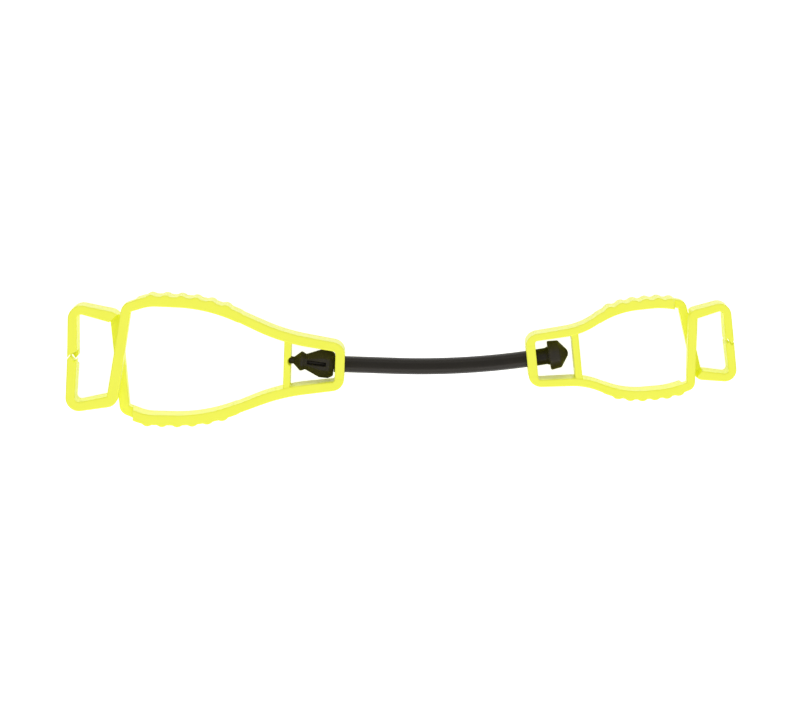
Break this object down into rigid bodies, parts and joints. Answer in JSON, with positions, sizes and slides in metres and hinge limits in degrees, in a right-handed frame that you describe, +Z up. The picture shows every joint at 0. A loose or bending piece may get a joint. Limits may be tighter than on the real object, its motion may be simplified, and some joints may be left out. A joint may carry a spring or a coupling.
{
  "type": "double-ended utility clip",
  "caption": "Double-ended utility clip: a large and a small crossing-arm spring clip joined by a short flexible connector; squeezing the ribbed bows opens the toothed jaws.",
  "frame": {"origin": "on the resting plane, under the middle of the whole clip as it lies on its side", "axes": "+X from the large clip to the small clip along the row's length, +Y across the bows, +Z up, along the depth of the clips"},
  "size_m": [0.1707, 0.0338, 0.0127],
  "materials": {
    "clip": "satin moulded acetal, high-visibility lime yellow",
    "connector": "satin black flexible elastomer"
  },
  "bodies": {
    "large_frame": {"large_end_frame": "clip"},
    "large_over": {"large_over_arm": "clip"},
    "large_under": {"large_under_arm": "clip"},
    "connector_near": {"connector_rod": "connector", "breakaway_head": "connector"},
    "connector_far": {"anchor_head": "connector"},
    "small_frame": {"small_end_frame": "clip"},
    "small_over": {"small_over_arm": "clip"},
    "small_under": {"small_under_arm": "clip"}
  },
  "joints": [
    {"name": "large_squeeze", "type": "hinge", "parent": "large_frame", "child": "large_over", "pos_m": [-0.0406, 0.01087, 0.00635], "axis": [0, 0, 1], "range_deg": [0, 7], "stiffness_Nm_per_rad": 2},
    {"name": "large_squeeze_under", "type": "hinge", "parent": "large_frame", "child": "large_under", "pos_m": [-0.04136, -0.01196, 0.00635], "axis": [0, 0, 1], "range_deg": [-7, 0], "stiffness_Nm_per_rad": 2},
    {"name": "breakaway_pull", "type": "slide", "parent": "large_frame", "child": "connector_near", "axis": [0.9995, -0.0332, 0], "range_m": [0, 0.0155], "deforming": ["breakaway_head", "connector_rod"]},
    {"name": "connector_bend", "type": "hinge", "parent": "connector_near", "child": "connector_far", "pos_m": [0.01813, -0.00126, 0.00635], "axis": [0, 0, 1], "range_deg": [-45, 45], "stiffness_Nm_per_rad": 0.03, "deforming": ["connector_rod"]},
    {"name": "small_swivel", "type": "hinge", "parent": "connector_far", "child": "small_frame", "pos_m": [0.03764, 0.00105, 0.00635], "axis": [0.9859, 0.1676, 0], "continuous": true, "deforming": ["connector_rod"]},
    {"name": "small_squeeze", "type": "hinge", "parent": "small_frame", "child": "small_over", "pos_m": [0.0516, -0.00698, 0.00635], "axis": [0, 0, 1], "range_deg": [0, 7], "stiffness_Nm_per_rad": 1.5},
    {"name": "small_squeeze_under", "type": "hinge", "parent": "small_frame", "child": "small_under", "pos_m": [0.04987, 0.01063, 0.00635], "axis": [0, 0, 1], "range_deg": [-7, 0], "stiffness_Nm_per_rad": 1.5}
  ],
  "couplings": [
    {"joint": "large_squeeze_under", "follows": "large_squeeze", "ratio": -1},
    {"joint": "small_squeeze_under", "follows": "small_squeeze", "ratio": -1}
  ]
}
